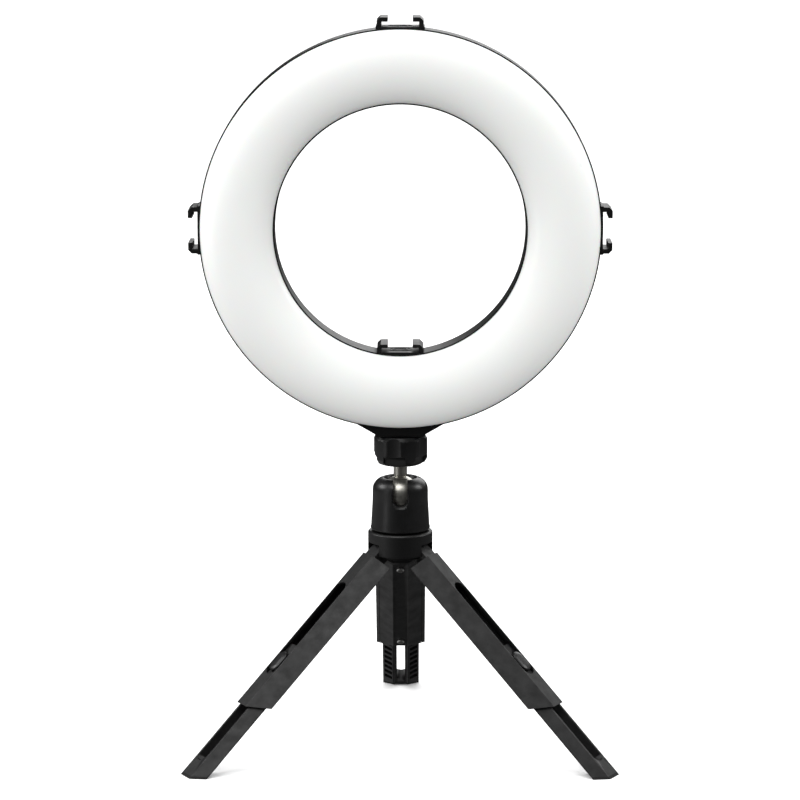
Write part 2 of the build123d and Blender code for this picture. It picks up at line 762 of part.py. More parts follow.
mid_r = (RING_R + HOLE_R) / 2
dome_half = (RING_R - HOLE_R) / 2 - RIM
with BuildPart() as diffuser:
    with BuildSketch(Plane.XY.offset(RING_Z)):
        with BuildLine():
            EllipticalCenterArc(
                (mid_r, CASE_FRONT), dome_half, DOME_DEPTH, start_angle=180, arc_size=180
            )
            Polyline(
                (mid_r + dome_half, CASE_FRONT),
                (mid_r + 16.9, CASE_FRONT),
                (mid_r + 16.9, CASE_FRONT + 4),
                (mid_r + 15.2, CASE_FRONT + 4),
                (mid_r + 15.2, CASE_FRONT),
            )
            EllipticalCenterArc(
                (mid_r, CASE_FRONT), 15.2, DOME_DEPTH - 1.8, start_angle=180, arc_size=180
            )
            Polyline(
                (mid_r - 15.2, CASE_FRONT),
                (mid_r - 15.2, CASE_FRONT + 4),
                (mid_r - 16.9, CASE_FRONT + 4),
                (mid_r - 16.9, CASE_FRONT),
                (mid_r - dome_half, CASE_FRONT),
            )
        make_face()
    revolve(axis=RING_AXIS)
    with BuildSketch(back_plane(PLATE_IN - 0.1)):
        with Locations(*POST_SPOTS):
            Circle(2.3)
    extrude(amount=PLATE_IN - CASE_FRONT + 5.2)
    with BuildSketch(back_plane(PLATE_IN + 0.4)):
        with Locations(*POST_SPOTS):
            Circle(1.3)
    extrude(amount=9, mode=Mode.SUBTRACT)
save(diffuser.part, "diffuser")

with BuildPart() as led_board:
    with BuildSketch(back_plane(BOARD_Y + BOARD_THICK)):
        Circle(92.2)
        Circle(68.2, mode=Mode.SUBTRACT)
        with Locations(*STANDOFFS):
            Circle(1.1, mode=Mode.SUBTRACT)
    extrude(amount=BOARD_THICK)
save(led_board.part, "led_board")

with BuildPart() as led_chips:
    with BuildSketch(back_plane(BOARD_Y)):
        with PolarLocations(74.0, 36, start_angle=5):
            Rectangle(2.8, 3.5)
        with PolarLocations(86.0, 36):
            Rectangle(2.8, 3.5)
    extrude(amount=0.8)
save(led_chips.part, "led_chips")

with BuildPart() as board_screws:
    with BuildSketch(back_plane(BOARD_Y)):
        with Locations(*STANDOFFS):
            Circle(1.9)
    extrude(amount=1.1)
    with BuildSketch(back_plane(BOARD_Y)):
        with Locations(*STANDOFFS):
            Circle(0.95)
    extrude(amount=-5)
    with BuildSketch(back_plane(CONTROL_Y)):
        with Locations(*CONTROL_STANDOFFS):
            Circle(1.7)
    extrude(amount=1.0)
    with BuildSketch(back_plane(CONTROL_Y)):
        with Locations(*CONTROL_STANDOFFS):
            Circle(0.95)
    extrude(amount=-3.4)
save(board_screws.part, "board_screws")

with BuildPart() as case_screws:
    with BuildSketch(back_plane(CASE_BACK - 0.1)):
        with Locations(*POST_SPOTS):
            Circle(2.7)
    extrude(amount=1.1)
    with BuildSketch(back_plane(CASE_BACK - 1.2)):
        with Locations(*POST_SPOTS):
            Circle(1.25)
    extrude(amount=9)
    with BuildSketch(back_plane(CASE_BACK - 0.1)):
        with Locations(*POST_SPOTS):
            Rectangle(3.0, 0.6)
            Rectangle(0.6, 3.0)
    extrude(amount=0.6, mode=Mode.SUBTRACT)
save(case_screws.part, "case_screws")

with BuildPart() as control_board:
    with BuildSketch(back_plane(CONTROL_Y + CONTROL_THICK)):
        with Locations((0, CONTROL_Z - RING_Z)):
            Rectangle(48, 12)
        with Locations(*CONTROL_STANDOFFS):
            Circle(1.1, mode=Mode.SUBTRACT)
    extrude(amount=CONTROL_THICK)
save(control_board.part, "control_board")

SWITCH_BACK = CONTROL_Y + CONTROL_THICK
with BuildPart() as switches:
    with BuildSketch(back_plane(SWITCH_BACK + 1.9)):
        for x in BUTTON_XS.values():
            with Locations((x, CONTROL_Z - RING_Z)):
                Rectangle(6.0, 6.0)
    extrude(amount=1.9)
    with BuildSketch(back_plane(SWITCH_BACK + 2)):
        for x in BUTTON_XS.values():
            with Locations((x, CONTROL_Z - RING_Z)):
                Circle(1.75)
    extrude(amount=1.6, mode=Mode.SUBTRACT)
save(switches.part, "switches")

for button_name, x in BUTTON_XS.items():
    with BuildPart() as button:
        with BuildSketch(back_plane(CASE_BACK + 1.2)):
            with Locations((x, CONTROL_Z - RING_Z)):
                Circle(3.0)
        extrude(amount=3.2)
        with BuildSketch(back_plane(CASE_BACK - 2.0)):
            with Locations((x, CONTROL_Z - RING_Z)):
                Circle(1.6)
        extrude(amount=1.6)
        outer_edge = button.edges().filter_by(GeomType.CIRCLE).sort_by(Axis.Y)[-1]
        fillet(outer_edge, 0.5)
    save(button.part, button_name)

with BuildPart() as usb_inlet:
    with BuildSketch(back_plane(CASE_BACK - 0.1)):
        with Locations((USB_X, CONTROL_Z - RING_Z)):
            SlotOverall(9.0, 3.3)
            SlotOverall(8.3, 2.6, mode=Mode.SUBTRACT)
            SlotOverall(6.4, 0.8)
    extrude(amount=CASE_BACK - 0.1 - SWITCH_BACK)
    with BuildSketch(back_plane(SWITCH_BACK + 0.8)):
        with Locations((USB_X, CONTROL_Z - RING_Z)):
            SlotOverall(9.0, 3.3)
    extrude(amount=0.8)
save(usb_inlet.part, "usb_inlet")

with BuildPart() as mount_boss:
    with BuildSketch(Plane.XZ.offset(-10.0)):
        Polygon(
            (-12.7, BOSS_BOTTOM),
            (12.7, BOSS_BOTTOM),
            (12.7, 165.2),
            (23.5, 171.4),
            (-23.5, 171.4),
            (-12.7, 165.2),
            align=None,
        )
    extrude(amount=21.0)
    with BuildSketch(back_plane(20)):
        Circle(RING_R)
    extrude(amount=40, mode=Mode.SUBTRACT)
    with BuildSketch(back_plane(10.0)):
        with Locations((0, 175.0 - RING_Z)):
            RectangleRounded(27, 21.9, 3)
    extrude(amount=10.0 - CASE_BACK)
    with BuildSketch(back_plane(12)):
        with Locations(*BOSS_SCREWS):
            Circle(1.4)
    extrude(amount=12 - CASE_BACK + 1, mode=Mode.SUBTRACT)
    with BuildSketch(Plane.XY.offset(BOSS_BOTTOM - 1)):
        Circle(4.45)
    extrude(amount=8, mode=Mode.SUBTRACT)
save(mount_boss.part, "mount_boss")

with BuildPart() as threaded_insert:
    with BuildSketch(Plane.XY.offset(BOSS_BOTTOM + 0.3)):
        Circle(4.4)
        Circle(STUD_R + RUNNING, mode=Mode.SUBTRACT)
    extrude(amount=9.2)
save(threaded_insert.part, "threaded_insert")

with BuildPart() as boss_screws:
    with BuildSketch(back_plane(10.0)):
        with Locations(*BOSS_SCREWS):
            Circle(2.6)
    extrude(amount=-1.2)
    with BuildSketch(back_plane(10.0)):
        with Locations(*BOSS_SCREWS):
            Circle(1.25)
    extrude(amount=7)
    with BuildSketch(back_plane(11.2)):
        with Locations(*BOSS_SCREWS):
            Rectangle(3.0, 0.6)
            Rectangle(0.6, 3.0)
    extrude(amount=0.6, mode=Mode.SUBTRACT)
save(boss_screws.part, "boss_screws")


def shoe_outline(toward):
    """Half of a shoe's section, from its base up; toward is +1 on the outside of the ring."""
    half = SHOE_WIDTH / 2
    slot = SHOE_SLOT / 2
    gap = SHOE_GAP / 2
    base = SHOE_BASE if toward > 0 else INNER_BASE
    lip = SHOE_HEIGHT - (SHOE_LIP if toward > 0 else INNER_LIP)
    right = [
        (half + 0.6, -3.0),
        (half + 0.6, 0.4),
        (half, 1.0),
        (half, SHOE_HEIGHT - SHOE_BEVEL),
        (half - SHOE_BEVEL, SHOE_HEIGHT),
        (gap, SHOE_HEIGHT),
        (gap, lip),
        (slot, lip),
        (slot, base),
    ]
    left = [(-x, y) for x, y in reversed(right)]
    return [(x, toward * y) for x, y in right + left]


for shoe_name, (angle, radius) in SHOES.items():
    toward = -1 if shoe_name == "shoe_inner" else 1
    with BuildPart() as shoe:
        base = shoe_plane(angle, radius)
        front = Plane(origin=base.origin + Vector(0, SHOE_Y[1], 0), x_dir=base.x_dir, z_dir=(0, -1, 0))
        facing = 1 if front.y_dir.dot(base.z_dir) > 0 else -1
        with BuildSketch(front):
            Polygon(*[(x, facing * y) for x, y in shoe_outline(toward)], align=None)
        extrude(amount=SHOE_Y[1] - SHOE_Y[0])
        if toward > 0:
            with BuildSketch(back_plane(20)):
                Circle(RING_R)
            extrude(amount=40, mode=Mode.SUBTRACT)
        else:
            with BuildSketch(back_plane(20)):
                Circle(HOLE_R + 20)
                Circle(HOLE_R, mode=Mode.SUBTRACT)
            extrude(amount=40, mode=Mode.SUBTRACT)
        with BuildSketch(shoe_plane(angle, radius + toward * (SHOE_BASE if toward > 0 else INNER_BASE))):
            with Locations((0, (SHOE_Y[0] + SHOE_Y[1]) / 2)):
                SlotOverall(12, 9)
                SlotOverall(10.6, 7.6, mode=Mode.SUBTRACT)
                SlotOverall(8, 5)
                SlotOverall(6.6, 3.6, mode=Mode.SUBTRACT)
        extrude(amount=toward * 0.3)
        with BuildSketch(shoe_plane(angle, radius - toward * 3)):
            with Locations((-SHOE_SCREW_X, SHOE_SCREW_Y), (SHOE_SCREW_X, SHOE_SCREW_Y)):
                Circle(0.9)
        extrude(amount=toward * 6.5, mode=Mode.SUBTRACT)
    save(shoe.part, shoe_name)

with BuildPart() as shoe_screws:
    for shoe_name, (angle, radius) in SHOES.items():
        toward = -1 if shoe_name == "shoe_inner" else 1
        head_at = radius - toward * (CASE_WALL + (0.75 if toward > 0 else 0.15))
        with BuildSketch(shoe_plane(angle, head_at)):
            with Locations((-SHOE_SCREW_X, SHOE_SCREW_Y), (SHOE_SCREW_X, SHOE_SCREW_Y)):
                Circle(1.8)
        extrude(amount=-toward * 1.2)
        with BuildSketch(shoe_plane(angle, head_at)):
            with Locations((-SHOE_SCREW_X, SHOE_SCREW_Y), (SHOE_SCREW_X, SHOE_SCREW_Y)):
                Circle(0.85)
        extrude(amount=toward * 5.2)
save(shoe_screws.part, "shoe_screws")
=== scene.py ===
# %% [markdown]
# # A ring light on a folding table tripod
# The light is an opal plastic dome, bent into a ring, in a shallow black case. A ball head joins it to
# three telescoping legs. The measured model comes first and stays fixed: it holds every size and every
# joint. What is made here is the surface that one sees: rounded mould edges, smooth turned metal, proper
# screw heads, grain and gloss.

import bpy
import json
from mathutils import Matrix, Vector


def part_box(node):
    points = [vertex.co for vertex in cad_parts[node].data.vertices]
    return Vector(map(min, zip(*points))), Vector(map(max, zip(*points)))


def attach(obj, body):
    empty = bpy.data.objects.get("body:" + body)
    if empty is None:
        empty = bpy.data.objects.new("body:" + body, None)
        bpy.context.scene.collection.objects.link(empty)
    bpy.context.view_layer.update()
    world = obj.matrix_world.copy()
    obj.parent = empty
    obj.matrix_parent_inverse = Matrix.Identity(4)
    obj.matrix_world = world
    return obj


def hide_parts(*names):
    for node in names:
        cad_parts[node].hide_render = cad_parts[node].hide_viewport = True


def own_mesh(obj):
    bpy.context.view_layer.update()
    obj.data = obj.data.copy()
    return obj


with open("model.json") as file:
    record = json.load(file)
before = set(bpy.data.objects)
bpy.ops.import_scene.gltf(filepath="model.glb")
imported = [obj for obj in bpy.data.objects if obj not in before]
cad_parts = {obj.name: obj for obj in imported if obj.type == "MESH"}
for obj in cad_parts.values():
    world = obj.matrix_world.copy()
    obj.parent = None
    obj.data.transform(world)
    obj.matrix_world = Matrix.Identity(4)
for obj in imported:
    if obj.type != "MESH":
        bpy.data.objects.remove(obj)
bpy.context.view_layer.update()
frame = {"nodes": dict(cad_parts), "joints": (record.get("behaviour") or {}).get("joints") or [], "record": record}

# %% Names used all through
import json
from math import cos, pi, radians, sin

import bmesh
import bpy
from mathutils import Matrix, Vector

MM = 0.001
WELD = 0.002 * MM  # points nearer than this are one
NEAR = 0.01 * MM  # how far a point may lie from the plane that picks it
scene = bpy.context.scene
nodes = frame["nodes"]
bodies = frame["record"]["behaviour"]["bodies"]
joints = {joint["name"]: joint for joint in frame["joints"]}
body_of = {node: body for body, members in bodies.items() for node in members}
slot_of = {part["node"]: part["material_slot"] for part in frame["record"]["subparts"]}

# %% [markdown]
# ## Camera
# A long lens some 1.7 m away keeps the ring round and the legs nearly parallel in the picture. The camera
# stands a little above the ring's centre and looks down by ten degrees, so the tops of the legs show.

# %% Camera
LENS = 151.88
CAMERA_PLACE = (5.6 * MM, -1697.2 * MM, 495.3 * MM)
CAMERA_TURN = (radians(79.514), 0, radians(0.194))
bpy.ops.object.camera_add(location=CAMERA_PLACE, rotation=CAMERA_TURN)
camera = bpy.context.object
camera.data.lens = LENS
camera.data.sensor_width = 36
scene.camera = camera
scene.view_settings.view_transform = "Standard"
print("lens", LENS, "mm")

# %% [markdown]
# ## Floor
# A sheet of pale paper, wide enough to fill the picture. It shows itself and the shadows, but it is kept
# out of the mirror images and the bounced light, so that black plastic standing on white paper stays black.
# Black cards do the same in a studio.

# %% Floor
FLOOR_SIZE = 60
bpy.ops.mesh.primitive_plane_add(size=FLOOR_SIZE, location=(0, 0, 0))
floor = bpy.context.object
floor.name = "floor"
floor.visible_glossy = False
floor.visible_diffuse = False
print("floor", FLOOR_SIZE, "m")

# %% [markdown]
# ## Light
# Black plastic is seen mostly by what it mirrors. A broad soft box in front and above lights the legs'
# slanted sides and leaves their outer faces dark. One high at either side puts a soft spot on each shoulder
# of the ball head. A strip low at the left brightens what faces it, and a box behind keeps the back from
# going all black. The sun stands for the studio's even ceiling light, which whitens the floor.


# %% Lights
RING_FOOT = Vector((0, 0, 0.17))


def soft_box(name, direction, distance, width, height, glow):
    """A rectangular light that faces the object; glow is how bright its surface is."""
    way = Vector(direction).normalized()
    place = RING_FOOT + way * distance
    bpy.ops.object.light_add(type="AREA", location=place)
    light = bpy.context.object
    light.name = name
    light.data.shape = "RECTANGLE"
    light.data.size = width
    light.data.size_y = height
    light.data.energy = glow * pi * width * height
    light.rotation_euler = (-way).to_track_quat("-Z", "Y").to_euler()


soft_box("front_top_box", (-0.05, -0.57, 0.80), 1.5, 1.5, 0.9, 0.26)
soft_box("left_shoulder_box", (-0.86, 0.10, 0.50), 1.2, 0.42, 0.46, 9.0)
soft_box("right_shoulder_box", (0.86, 0.10, 0.50), 1.2, 0.42, 0.46, 7.5)
soft_box("left_strip", (-0.95, -0.55, 0.12), 1.6, 0.35, 1.2, 1.4)
soft_box("back_box", (0.25, 0.9, 0.40), 1.8, 1.5, 1.0, 2.2)

bpy.ops.object.light_add(type="SUN", rotation=(radians(20), radians(-12), 0))
ceiling = bpy.context.object
ceiling.name = "ceiling"
ceiling.data.energy = 1.5
ceiling.data.angle = radians(50)
ceiling.data.specular_factor = 0.1


# %% [markdown]
# ## Writing a material as a formula
# A material is a small network. Wiring it node by node hides the idea, so a socket is wrapped in a class
# whose arithmetic adds the Math nodes. `0.4 + 0.1 * grain` then reads like the formula that it is.


# %% A socket with arithmetic
class Number:
    """One output socket that carries a number."""

    def __init__(self, network, socket):
        self.network = network
        self.socket = socket

    def _with(self, operation, first, second):
        node = self.network.node("ShaderNodeMath", {"operation": operation}, {0: first, 1: second})
        return Number(self.network, node.outputs[0])

    def __add__(self, other):
        return self._with("ADD", self, other)

    def __radd__(self, other):
        return self._with("ADD", other, self)

    def __sub__(self, other):
        return self._with("SUBTRACT", self, other)

    def __rsub__(self, other):
        return self._with("SUBTRACT", other, self)

    def __mul__(self, other):
        return self._with("MULTIPLY", self, other)

    def __rmul__(self, other):
        return self._with("MULTIPLY", other, self)

    def above(self, least):
        """The number, but never less than least."""
        return self._with("MAXIMUM", self, least)

    def below(self, most):
        """The number, but never more than most."""
        return self._with("MINIMUM", self, most)


print("numbers can be added, subtracted, multiplied and limited")


# %% A tree that formulas are written into
class Network:
    """A node tree that formulas are written into."""

    def __init__(self, tree):
        self.tree = tree

    def node(self, kind, settings=None, sockets=None):
        """Add a node, give it its settings, then its values and links."""
        node = self.tree.nodes.new(kind)
        for key, value in (settings or {}).items():
            setattr(node, key, value)
        for key, value in (sockets or {}).items():
            self.put(node.inputs[key], value)
        return node

    def put(self, socket, value):
        """Link a socket, or set its value."""
        if isinstance(value, Number):
            value = value.socket
        if isinstance(value, bpy.types.NodeSocket):
            self.tree.links.new(value, socket)
        else:
            socket.default_value = value


print("network class ready")


# %% A material made of formulas
class Finish(Network):
    """A material with one principled shader, built from formulas."""

    def __init__(self, name, **constants):
        self.material = bpy.data.materials.new(name)
        self.material.use_nodes = True
        super().__init__(self.material.node_tree)
        self.shader = self.tree.nodes["Principled BSDF"]
        for socket, value in constants.items():
            self.shader.inputs[socket.replace("_", " ")].default_value = value
        self.place = self.node("ShaderNodeTexCoord").outputs["Object"]

    def noise(self, size, detail=3.0, stretch=(1, 1, 1)):
        """Soft random spots about size metres across, from 0 to 1, with 0.5 in the middle."""
        mapped = self.node("ShaderNodeMapping", None, {"Vector": self.place, "Scale": stretch})
        spots = self.node(
            "ShaderNodeTexNoise",
            {"noise_dimensions": "3D"},
            {"Vector": mapped.outputs[0], "Scale": 1 / size, "Detail": detail, "Roughness": 0.55},
        )
        return Number(self, spots.outputs["Fac"])

    def cells(self, size):
        """Distance to the nearest point of a random scatter, about 0 to 1."""
        scatter = self.node("ShaderNodeTexVoronoi", None, {"Vector": self.place, "Scale": 1 / size})
        return Number(self, scatter.outputs["Distance"])

    def blend(self, dark, light, share):
        """Between two colours."""
        mix = self.node("ShaderNodeMix", {"data_type": "RGBA"}, {0: share, 6: (*dark, 1), 7: (*light, 1)})
        return mix.outputs[2]

    def bump(self, height, depth):
        """Raise the surface by height times depth metres."""
        node = self.node("ShaderNodeBump", None, {"Height": height, "Distance": depth})
        self.put(self.shader.inputs["Normal"], node.outputs["Normal"])

    def set(self, socket, value):
        """Link one of the shader's sockets, or set its value."""
        self.put(self.shader.inputs[socket], value)


print("finish class ready")

# %% [markdown]
# ## Sky
# What lights the object softly and what it mirrors are chosen apart. White plastic wants an even, bright
# sky, a little dimmer from below. In the mirror image the room is dark, apart from a glow low at the left
# and a weaker one low at the right, which shape the undersides of the legs. The camera sees plain white.

# %% Sky
SKY_ABOVE = 1.04
SKY_BELOW = 0.53
LEFT_GLOW = 1.6
RIGHT_GLOW = 0.5
GLOW_START = 0.12  # how far to the side a glow begins
ROOM_DARK = 0.03
ROOM_TOP = 0.12
world = bpy.data.worlds.new("studio")
scene.world = world
world.use_nodes = True
sky = Network(world.node_tree)
direction = sky.node("ShaderNodeTexCoord").outputs["Generated"]
parts = sky.node("ShaderNodeSeparateXYZ", None, {0: direction})
to_right = Number(sky, parts.outputs["X"])
to_top = Number(sky, parts.outputs["Z"])
mirrored = Number(sky, sky.node("ShaderNodeLightPath").outputs["Is Glossy Ray"])
soft_light = SKY_BELOW + (SKY_ABOVE - SKY_BELOW) * (0.5 + 1.5 * to_top).above(0.0).below(1.0)
under = (0.0 - to_top).above(0.0)
left_glow = LEFT_GLOW * under * (0.0 - to_right - GLOW_START).above(0.0)
right_glow = RIGHT_GLOW * under * (to_right - GLOW_START).above(0.0)
mirror_light = ROOM_DARK + ROOM_TOP * to_top.above(0.0) + left_glow + right_glow
seen = Number(sky, sky.node("ShaderNodeLightPath").outputs["Is Camera Ray"])
brightness = soft_light + mirrored * (mirror_light - soft_light)
brightness = brightness + seen * (1.0 - brightness)
background = world.node_tree.nodes["Background"]
background.inputs["Color"].default_value = (1, 1, 1, 1)
sky.put(background.inputs["Strength"], brightness)
print("sky", SKY_ABOVE, "above and", SKY_BELOW, "below")


# %% [markdown]
# ## Black plastics
# Every black plastic here is the same kind of mix: a spark-eroded grain left by the mould, and slow clouds
# in its sheen where the plastic flowed and cooled. Only the grain's size and the gloss differ. The legs are
# coarse and matt, the ring's case is finer, and the ball head is nearly glossy.


# %% Black plastics
def black_plastic(name, tone, gloss, grain_size, grain_depth, cloud=0.3):
    """Moulded black plastic. tone is its grey, gloss its roughness, cloud how much both wander."""
    finish = Finish(name)
    clouds = 0.5 + 2.8 * (finish.noise(6 * MM, 4.0) - 0.5)
    grain = finish.noise(grain_size, 2.0)
    pits = finish.cells(grain_size * 1.6)
    darker = tuple(c * (1 - cloud) for c in tone)
    lighter = tuple(c * (1 + cloud) for c in tone)
    finish.set("Base Color", finish.blend(darker, lighter, clouds))
    finish.set("Roughness", gloss - cloud * 0.16 * (clouds - 0.5) + 0.10 * (grain - 0.5))
    finish.bump(grain + 0.5 * pits, grain_depth)
    return finish.material


black_shell = black_plastic("leg_plastic", (0.0052, 0.0052, 0.0053), 0.50, 0.42 * MM, 0.030 * MM, 0.8)
black_satin = black_plastic("case_plastic", (0.0018, 0.0018, 0.0019), 0.46, 0.30 * MM, 0.014 * MM, 0.3)
black_gloss = black_plastic("head_plastic", (0.0040, 0.0040, 0.0043), 0.36, 0.60 * MM, 0.006 * MM, 0.4)
rubber_black = black_plastic("rubber", (0.006, 0.006, 0.006), 0.82, 0.25 * MM, 0.035 * MM, 0.15)
print("black finishes", [m.name for m in bpy.data.materials])


# %% [markdown]
# ## Opal plastic
# The dome is milky acrylic: bright white, glossy, and never quite even, because its thickness varies.

# %% Opal
opal_finish = Finish("opal_acrylic", Subsurface_Weight=0.12, Subsurface_Scale=4 * MM, Coat_Weight=0.35)
opal_finish.shader.inputs["Coat Roughness"].default_value = 0.12
thickness = opal_finish.noise(45 * MM, 2.0)
ripple = opal_finish.noise(14 * MM, 1.0)
opal_finish.set("Base Color", opal_finish.blend((0.880, 0.876, 0.858), (0.915, 0.912, 0.898), thickness))
opal_finish.set("Roughness", 0.30 + 0.08 * (ripple - 0.5))
opal_finish.bump(ripple, 0.02 * MM)
opal = opal_finish.material
print("opal", opal.name)


# %% [markdown]
# ## Metals
# A lathe leaves fine rings round the stem and the ball, so the noise is squeezed along the axis of turning.
# Plated screws are blotchy instead, and black oxide is a thin stain over steel.


# %% Metals
def metal(name, dark, light, gloss, grain_size, stretch=(1, 1, 1), depth=0.002 * MM, wander=0.2):
    """Bare or plated metal with its tool marks."""
    finish = Finish(name, Metallic=1.0)
    marks = finish.noise(grain_size, 3.0, stretch)
    stain = finish.noise(2.5 * MM, 3.0)
    finish.set("Base Color", finish.blend(dark, light, stain))
    finish.set("Roughness", gloss + wander * (marks - 0.5) + 0.12 * (stain - 0.5))
    finish.bump(marks, depth)
    return finish.material


steel_satin = metal(
    "turned_steel", (0.50, 0.49, 0.44), (0.66, 0.65, 0.60), 0.34, 6 * MM, (1, 1, 26), 0.004 * MM, 0.3
)
steel_bright = metal("zinc_plate", (0.60, 0.60, 0.58), (0.78, 0.78, 0.76), 0.30, 0.3 * MM)
steel_black = metal("black_oxide", (0.020, 0.020, 0.022), (0.045, 0.045, 0.048), 0.38, 0.3 * MM)
spring_steel = metal("spring_wire", (0.35, 0.35, 0.34), (0.52, 0.52, 0.50), 0.28, 0.4 * MM)
brass = metal("brass", (0.70, 0.50, 0.20), (0.85, 0.66, 0.32), 0.30, 0.5 * MM)
print("metals", [m.name for m in (steel_satin, steel_bright, steel_black, spring_steel, brass)])


# %% [markdown]
# ## Inside finishes
# These are seen only when the light is taken apart: the nylon seat under the ball, the circuit boards and
# the yellow phosphor over the light-emitting chips.


# %% Inside finishes
def dull_plastic(name, dark, light, gloss, size, **constants):
    """A plain plastic or lacquer with a little unevenness."""
    finish = Finish(name, **constants)
    spots = finish.noise(size, 3.0)
    finish.set("Base Color", finish.blend(dark, light, spots))
    finish.set("Roughness", gloss + 0.12 * (spots - 0.5))
    finish.bump(spots, 0.01 * MM)
    return finish.material


nylon = dull_plastic("nylon", (0.66, 0.65, 0.60), (0.78, 0.77, 0.73), 0.55, 0.8 * MM)
board_white = dull_plastic("white_mask", (0.80, 0.80, 0.80), (0.88, 0.88, 0.88), 0.35, 0.6 * MM)
board_green = dull_plastic("green_mask", (0.02, 0.12, 0.05), (0.04, 0.20, 0.08), 0.30, 0.6 * MM)
led_yellow = dull_plastic("phosphor", (0.88, 0.70, 0.22), (0.95, 0.83, 0.40), 0.45, 0.3 * MM)
mark_white = dull_plastic("pad_print", (0.70, 0.70, 0.70), (0.80, 0.80, 0.80), 0.50, 0.2 * MM)
floor_white = dull_plastic(
    "floor_paper", (0.91, 0.91, 0.91), (0.93, 0.93, 0.93), 0.9, 400 * MM, Specular_IOR_Level=0.0
)
floor.data.materials.append(floor_white)
print("inside finishes", [m.name for m in (nylon, board_white, board_green, led_yellow, mark_white)])

# %% Finishes on the measured parts
FINISHES = {
    "black_shell": black_shell,
    "black_satin": black_satin,
    "black_gloss": black_gloss,
    "rubber_black": rubber_black,
    "opal": opal,
    "steel_satin": steel_satin,
    "steel_bright": steel_bright,
    "steel_black": steel_black,
    "spring_steel": spring_steel,
    "brass": brass,
    "nylon": nylon,
    "board_white": board_white,
    "board_green": board_green,
    "led_yellow": led_yellow,
}
for name, node in nodes.items():
    node.data.materials.clear()
    node.data.materials.append(FINISHES[slot_of[name]])
print(len(FINISHES), "finishes on", len(nodes), "parts")


# %% [markdown]
# ## Bench tools
# An operator works on whatever is selected, so each step starts by selecting one object and nothing else.
# Parts of a mesh are picked by a rule about their place, as one would pick them by eye.


# %% Selecting
def hold(piece):
    """Select this piece alone."""
    bpy.ops.object.select_all(action="DESELECT")
    piece.select_set(True)
    bpy.context.view_layer.objects.active = piece


def edit(piece):
    """Start editing a piece, with all of it selected."""
    hold(piece)
    bpy.ops.object.mode_set(mode="EDIT")
    bpy.ops.mesh.select_all(action="SELECT")


def done():
    """Stop editing."""
    bpy.ops.object.mode_set(mode="OBJECT")


def pick(kind, rule):
    """In edit mode, select the verts, edges or faces that a rule says yes to."""
    mesh = bpy.context.object.data
    bpy.ops.mesh.select_mode(type={"verts": "VERT", "edges": "EDGE", "faces": "FACE"}[kind])
    bpy.ops.mesh.select_all(action="DESELECT")
    shape = bmesh.from_edit_mesh(mesh)
    for element in getattr(shape, kind):
        element.select_set(bool(rule(element)))
    shape.select_flush_mode()
    bmesh.update_edit_mesh(mesh)


print("selecting tools ready")


# %% Modifiers
def apply_modifier(piece, kind, **settings):
    """Add one modifier, set it and apply it."""
    hold(piece)
    modifier = piece.modifiers.new(kind.lower(), kind)
    for key, value in settings.items():
        setattr(modifier, key, value)
    bpy.ops.object.modifier_apply(modifier=modifier.name)


def smooth(piece, angle=32):
    """Smooth shading that keeps real corners and leaves flat faces flat."""
    hold(piece)
    bpy.ops.object.shade_smooth_by_angle(angle=radians(angle))
    apply_modifier(piece, "WEIGHTED_NORMAL", keep_sharp=True, weight=80)


def cut(piece, tool):
    """Take a tool's shape out of a piece, and throw the tool away."""
    apply_modifier(piece, "BOOLEAN", operation="DIFFERENCE", solver="EXACT", object=tool)
    bpy.data.objects.remove(tool)


print("modifier tools ready")


# %% Places and copies
def settle(piece, matrix=None):
    """Bake a piece's place into its mesh, after moving it by a matrix."""
    if matrix is not None:
        piece.matrix_world = matrix @ piece.matrix_world
    hold(piece)
    bpy.ops.object.transform_apply(location=True, rotation=True, scale=True)


def copy_to(master, matrix, name):
    """A copy with its own mesh, moved by a matrix."""
    piece = bpy.data.objects.new(name, master.data.copy())
    scene.collection.objects.link(piece)
    settle(piece, matrix)
    return piece


def join(name, pieces):
    """Join pieces into one."""
    hold(pieces[0])
    for piece in pieces:
        piece.select_set(True)
    bpy.ops.object.join()
    pieces[0].name = name
    pieces[0].data.name = name
    return pieces[0]


print("copying tools ready")

# %% Standing for a measured part
finished = []


def fit(piece, node):
    """Give a piece the finish and the body of the measured part that it stands for."""
    piece.data.materials.clear()
    piece.data.materials.append(FINISHES[slot_of[node]])
    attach(piece, body_of[node])
    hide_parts(node)
    finished.append(piece)
    return piece


print("fitting tool ready")

# %% [markdown]
# ## Moulded parts
# A measured part has the right shape but knife-sharp edges and loose facets. A mould can't make a sharp
# edge, and it is the rounded edge that catches the light. So each part is copied, its facets are welded and
# its flat faces merged, and every outer edge over thirty degrees gets a small radius, if it has room for one.


# %% Rounding
FLAT = radians(0.3)
SHARP = radians(30)


def moulded(node, radius, shortest, room=2.2, name="moulded"):
    """A welded copy of a measured part. Its outer edges longer than shortest get a radius, where every
    neighbouring edge leaves room for it."""
    piece = bpy.data.objects.new(f"{node}_{name}", nodes[node].data.copy())
    scene.collection.objects.link(piece)
    edit(piece)
    bpy.ops.mesh.remove_doubles(threshold=WELD)
    bpy.ops.mesh.dissolve_limited(angle_limit=FLAT)
    bpy.ops.mesh.select_all(action="SELECT")
    bpy.ops.mesh.vert_connect_concave()

    def sharp_and_clear(edge):
        if len(edge.link_faces) != 2 or not edge.is_convex or edge.calc_length() < shortest:
            return False
        beside = [other for vert in edge.verts for other in vert.link_edges if other is not edge]
        clear = min(other.calc_length() for other in beside) > room * radius
        return clear and edge.calc_face_angle(0) > SHARP

    pick("edges", sharp_and_clear)
    bpy.ops.mesh.bevel(offset=radius, segments=2, affect="EDGES", clamp_overlap=False, miter_outer="SHARP")
    done()
    smooth(piece)
    fit(piece, node)


print("rounding tool ready")

